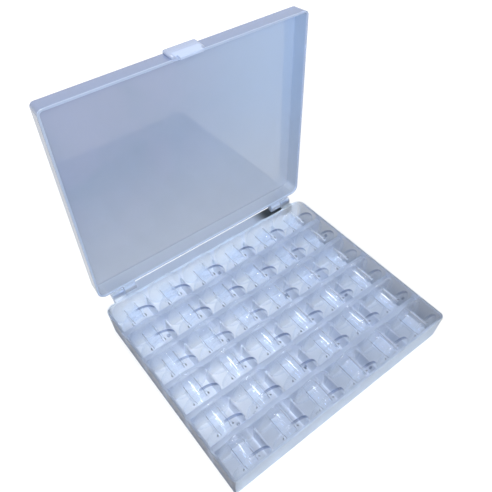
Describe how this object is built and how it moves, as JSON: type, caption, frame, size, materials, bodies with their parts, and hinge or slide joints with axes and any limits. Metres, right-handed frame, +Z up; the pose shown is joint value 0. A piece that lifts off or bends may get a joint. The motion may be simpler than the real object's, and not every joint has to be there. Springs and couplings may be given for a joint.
{
  "type": "bobbin storage box",
  "caption": "Clear plastic bobbin storage box: a shallow tray of cells holds sewing bobbins on edge, under a hinged lid with a snap latch that stands open.",
  "frame": {"origin": "centre of the tray's flat underside", "axes": "+X along the hinge to the right, +Y towards the hinge, +Z up"},
  "size_m": [0.132, 0.1235, 0.1321],
  "materials": {
    "tray_plastic": "translucent gloss moulding with a cool tint",
    "lid_plastic": "translucent gloss moulding with a cool tint",
    "bobbin_plastic": "clear gloss"
  },
  "bodies": {
    "tray": {"tray": "tray_plastic"},
    "lid": {"lid": "lid_plastic"},
    "bobbin_r1c1": {"bobbin_r1c1": "bobbin_plastic"},
    "bobbin_r1c2": {"bobbin_r1c2": "bobbin_plastic"},
    "bobbin_r1c3": {"bobbin_r1c3": "bobbin_plastic"},
    "bobbin_r1c4": {"bobbin_r1c4": "bobbin_plastic"},
    "bobbin_r1c5": {"bobbin_r1c5": "bobbin_plastic"},
    "bobbin_r1c6": {"bobbin_r1c6": "bobbin_plastic"},
    "bobbin_r2c1": {"bobbin_r2c1": "bobbin_plastic"},
    "bobbin_r2c2": {"bobbin_r2c2": "bobbin_plastic"},
    "bobbin_r2c3": {"bobbin_r2c3": "bobbin_plastic"},
    "bobbin_r2c4": {"bobbin_r2c4": "bobbin_plastic"},
    "bobbin_r2c5": {"bobbin_r2c5": "bobbin_plastic"},
    "bobbin_r2c6": {"bobbin_r2c6": "bobbin_plastic"},
    "bobbin_r3c1": {"bobbin_r3c1": "bobbin_plastic"},
    "bobbin_r3c2": {"bobbin_r3c2": "bobbin_plastic"},
    "bobbin_r3c3": {"bobbin_r3c3": "bobbin_plastic"},
    "bobbin_r3c4": {"bobbin_r3c4": "bobbin_plastic"},
    "bobbin_r3c5": {"bobbin_r3c5": "bobbin_plastic"},
    "bobbin_r3c6": {"bobbin_r3c6": "bobbin_plastic"},
    "bobbin_r4c1": {"bobbin_r4c1": "bobbin_plastic"},
    "bobbin_r4c2": {"bobbin_r4c2": "bobbin_plastic"},
    "bobbin_r4c3": {"bobbin_r4c3": "bobbin_plastic"},
    "bobbin_r4c4": {"bobbin_r4c4": "bobbin_plastic"},
    "bobbin_r4c5": {"bobbin_r4c5": "bobbin_plastic"},
    "bobbin_r4c6": {"bobbin_r4c6": "bobbin_plastic"},
    "bobbin_r5c1": {"bobbin_r5c1": "bobbin_plastic"},
    "bobbin_r5c2": {"bobbin_r5c2": "bobbin_plastic"},
    "bobbin_r5c3": {"bobbin_r5c3": "bobbin_plastic"},
    "bobbin_r5c4": {"bobbin_r5c4": "bobbin_plastic"},
    "bobbin_r5c5": {"bobbin_r5c5": "bobbin_plastic"},
    "bobbin_r5c6": {"bobbin_r5c6": "bobbin_plastic"},
    "bobbin_r6c1": {"bobbin_r6c1": "bobbin_plastic"},
    "bobbin_r6c2": {"bobbin_r6c2": "bobbin_plastic"},
    "bobbin_r6c3": {"bobbin_r6c3": "bobbin_plastic"},
    "bobbin_r6c4": {"bobbin_r6c4": "bobbin_plastic"},
    "bobbin_r6c5": {"bobbin_r6c5": "bobbin_plastic"},
    "bobbin_r6c6": {"bobbin_r6c6": "bobbin_plastic"}
  },
  "joints": [
    {"name": "lid_hinge", "type": "hinge", "parent": "tray", "child": "lid", "pos_m": [0, 0.05795, 0.0181], "axis": [-1, 0, 0], "range_deg": [-91.4, 0]},
    {"name": "lift_bobbin_r1c1", "type": "slide", "parent": "tray", "child": "bobbin_r1c1", "axis": [0, 0, 1], "range_m": [0, 0.03]},
    {"name": "lift_bobbin_r1c2", "type": "slide", "parent": "tray", "child": "bobbin_r1c2", "axis": [0, 0, 1], "range_m": [0, 0.03]},
    {"name": "lift_bobbin_r1c3", "type": "slide", "parent": "tray", "child": "bobbin_r1c3", "axis": [0, 0, 1], "range_m": [0, 0.03]},
    {"name": "lift_bobbin_r1c4", "type": "slide", "parent": "tray", "child": "bobbin_r1c4", "axis": [0, 0, 1], "range_m": [0, 0.03]},
    {"name": "lift_bobbin_r1c5", "type": "slide", "parent": "tray", "child": "bobbin_r1c5", "axis": [0, 0, 1], "range_m": [0, 0.03]},
    {"name": "lift_bobbin_r1c6", "type": "slide", "parent": "tray", "child": "bobbin_r1c6", "axis": [0, 0, 1], "range_m": [0, 0.03]},
    {"name": "lift_bobbin_r2c1", "type": "slide", "parent": "tray", "child": "bobbin_r2c1", "axis": [0, 0, 1], "range_m": [0, 0.03]},
    {"name": "lift_bobbin_r2c2", "type": "slide", "parent": "tray", "child": "bobbin_r2c2", "axis": [0, 0, 1], "range_m": [0, 0.03]},
    {"name": "lift_bobbin_r2c3", "type": "slide", "parent": "tray", "child": "bobbin_r2c3", "axis": [0, 0, 1], "range_m": [0, 0.03]},
    {"name": "lift_bobbin_r2c4", "type": "slide", "parent": "tray", "child": "bobbin_r2c4", "axis": [0, 0, 1], "range_m": [0, 0.03]},
    {"name": "lift_bobbin_r2c5", "type": "slide", "parent": "tray", "child": "bobbin_r2c5", "axis": [0, 0, 1], "range_m": [0, 0.03]},
    {"name": "lift_bobbin_r2c6", "type": "slide", "parent": "tray", "child": "bobbin_r2c6", "axis": [0, 0, 1], "range_m": [0, 0.03]},
    {"name": "lift_bobbin_r3c1", "type": "slide", "parent": "tray", "child": "bobbin_r3c1", "axis": [0, 0, 1], "range_m": [0, 0.03]},
    {"name": "lift_bobbin_r3c2", "type": "slide", "parent": "tray", "child": "bobbin_r3c2", "axis": [0, 0, 1], "range_m": [0, 0.03]},
    {"name": "lift_bobbin_r3c3", "type": "slide", "parent": "tray", "child": "bobbin_r3c3", "axis": [0, 0, 1], "range_m": [0, 0.03]},
    {"name": "lift_bobbin_r3c4", "type": "slide", "parent": "tray", "child": "bobbin_r3c4", "axis": [0, 0, 1], "range_m": [0, 0.03]},
    {"name": "lift_bobbin_r3c5", "type": "slide", "parent": "tray", "child": "bobbin_r3c5", "axis": [0, 0, 1], "range_m": [0, 0.03]},
    {"name": "lift_bobbin_r3c6", "type": "slide", "parent": "tray", "child": "bobbin_r3c6", "axis": [0, 0, 1], "range_m": [0, 0.03]},
    {"name": "lift_bobbin_r4c1", "type": "slide", "parent": "tray", "child": "bobbin_r4c1", "axis": [0, 0, 1], "range_m": [0, 0.03]},
    {"name": "lift_bobbin_r4c2", "type": "slide", "parent": "tray", "child": "bobbin_r4c2", "axis": [0, 0, 1], "range_m": [0, 0.03]},
    {"name": "lift_bobbin_r4c3", "type": "slide", "parent": "tray", "child": "bobbin_r4c3", "axis": [0, 0, 1], "range_m": [0, 0.03]},
    {"name": "lift_bobbin_r4c4", "type": "slide", "parent": "tray", "child": "bobbin_r4c4", "axis": [0, 0, 1], "range_m": [0, 0.03]},
    {"name": "lift_bobbin_r4c5", "type": "slide", "parent": "tray", "child": "bobbin_r4c5", "axis": [0, 0, 1], "range_m": [0, 0.03]},
    {"name": "lift_bobbin_r4c6", "type": "slide", "parent": "tray", "child": "bobbin_r4c6", "axis": [0, 0, 1], "range_m": [0, 0.03]},
    {"name": "lift_bobbin_r5c1", "type": "slide", "parent": "tray", "child": "bobbin_r5c1", "axis": [0, 0, 1], "range_m": [0, 0.03]},
    {"name": "lift_bobbin_r5c2", "type": "slide", "parent": "tray", "child": "bobbin_r5c2", "axis": [0, 0, 1], "range_m": [0, 0.03]},
    {"name": "lift_bobbin_r5c3", "type": "slide", "parent": "tray", "child": "bobbin_r5c3", "axis": [0, 0, 1], "range_m": [0, 0.03]},
    {"name": "lift_bobbin_r5c4", "type": "slide", "parent": "tray", "child": "bobbin_r5c4", "axis": [0, 0, 1], "range_m": [0, 0.03]},
    {"name": "lift_bobbin_r5c5", "type": "slide", "parent": "tray", "child": "bobbin_r5c5", "axis": [0, 0, 1], "range_m": [0, 0.03]},
    {"name": "lift_bobbin_r5c6", "type": "slide", "parent": "tray", "child": "bobbin_r5c6", "axis": [0, 0, 1], "range_m": [0, 0.03]},
    {"name": "lift_bobbin_r6c1", "type": "slide", "parent": "tray", "child": "bobbin_r6c1", "axis": [0, 0, 1], "range_m": [0, 0.03]},
    {"name": "lift_bobbin_r6c2", "type": "slide", "parent": "tray", "child": "bobbin_r6c2", "axis": [0, 0, 1], "range_m": [0, 0.03]},
    {"name": "lift_bobbin_r6c3", "type": "slide", "parent": "tray", "child": "bobbin_r6c3", "axis": [0, 0, 1], "range_m": [0, 0.03]},
    {"name": "lift_bobbin_r6c4", "type": "slide", "parent": "tray", "child": "bobbin_r6c4", "axis": [0, 0, 1], "range_m": [0, 0.03]},
    {"name": "lift_bobbin_r6c5", "type": "slide", "parent": "tray", "child": "bobbin_r6c5", "axis": [0, 0, 1], "range_m": [0, 0.03]},
    {"name": "lift_bobbin_r6c6", "type": "slide", "parent": "tray", "child": "bobbin_r6c6", "axis": [0, 0, 1], "range_m": [0, 0.03]}
  ]
}
